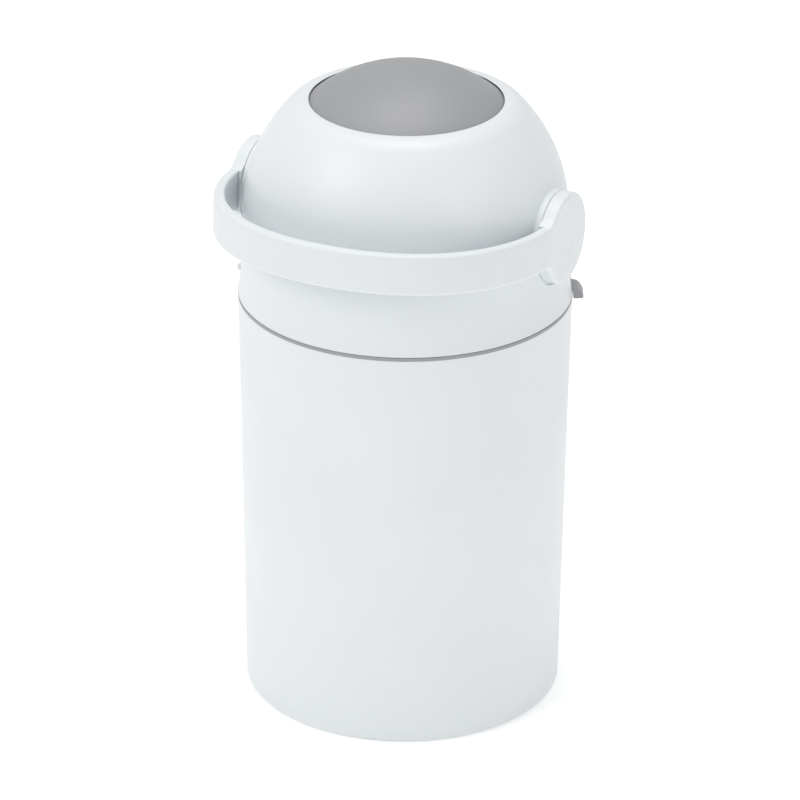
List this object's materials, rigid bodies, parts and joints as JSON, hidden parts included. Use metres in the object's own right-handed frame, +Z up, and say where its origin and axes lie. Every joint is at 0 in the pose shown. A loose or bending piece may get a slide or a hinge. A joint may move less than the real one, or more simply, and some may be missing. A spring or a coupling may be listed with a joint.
{
  "type": "nappy pail",
  "caption": "Round odour-sealing nappy pail: tapered container, hinged dome head, and a grey ball drum that a bail handle flips over to drop its load inside.",
  "frame": {"origin": "on the floor under the container's axis, at the centre of the anti-slip base", "axes": "+Z up along the container's axis, -Y towards the front where the handle rests, +X towards the release lever's side; the handle and drum turn about a line parallel to X"},
  "size_m": [0.2969, 0.3105, 0.5625],
  "materials": {
    "shell_plastic": "satin moulded white polypropylene",
    "grey_plastic": "satin moulded light grey polypropylene",
    "bush_plastic": "natural acetal, slippery and slightly glossy",
    "seal_rubber": "soft matt elastomer",
    "rubber_grey": "matt dark grey non-slip rubber",
    "steel": "zinc-plated steel"
  },
  "bodies": {
    "base": {"container": "shell_plastic", "anti_slip_base": "rubber_grey", "bag_ring": "grey_plastic", "hinge_leaf_lower": "shell_plastic", "hinge_pin": "steel", "lower_hinge_screws": "steel"},
    "head": {"head_shell": "shell_plastic", "chute_plate": "grey_plastic", "chute_plate_screws": "steel", "lower_drum_seal": "seal_rubber", "upper_drum_seal": "seal_rubber", "seal_retainer": "shell_plastic", "rim_gasket": "seal_rubber", "trunnion_bush_left": "bush_plastic", "trunnion_bush_right": "bush_plastic", "thrust_washers": "bush_plastic", "hinge_leaf_upper": "shell_plastic", "upper_hinge_screws": "steel", "lever_pin": "steel", "lever_spring": "steel"},
    "drum": {"drum_cap_shell": "grey_plastic", "drum_lower_shell": "grey_plastic", "drum_cup": "shell_plastic", "cup_screw": "steel", "mouth_ring": "grey_plastic", "trunnion_left": "bush_plastic", "trunnion_right": "bush_plastic", "trunnion_screws": "steel", "handle": "shell_plastic", "hub_screws": "steel", "hub_cap_left": "shell_plastic", "hub_cap_right": "shell_plastic"},
    "ejector": {"ejector_piston": "grey_plastic", "piston_wiper": "seal_rubber", "piston_weight": "steel", "piston_screws": "steel"},
    "latch": {"release_lever": "grey_plastic"}
  },
  "joints": [
    {"name": "head_hinge", "type": "hinge", "parent": "base", "child": "head", "pos_m": [-0.1455, 0, 0.362], "axis": [0, -1, 0], "range_deg": [0, 95]},
    {"name": "handle_flip", "type": "hinge", "parent": "head", "child": "drum", "pos_m": [0, 0, 0.4355], "axis": [-1, 0, 0], "range_deg": [0, 180]},
    {"name": "ejector_slide", "type": "slide", "parent": "drum", "child": "ejector", "axis": [0, 0, 1], "range_m": [0, 0.1215]},
    {"name": "release_lever_pivot", "type": "hinge", "parent": "head", "child": "latch", "pos_m": [0.12196, 0.0543, 0.3726], "axis": [0.4067, -0.9135, 0], "range_deg": [0, 10], "stiffness_Nm_per_rad": 0.3, "springref_deg": -5.73, "deforming": ["lever_spring"]}
  ]
}
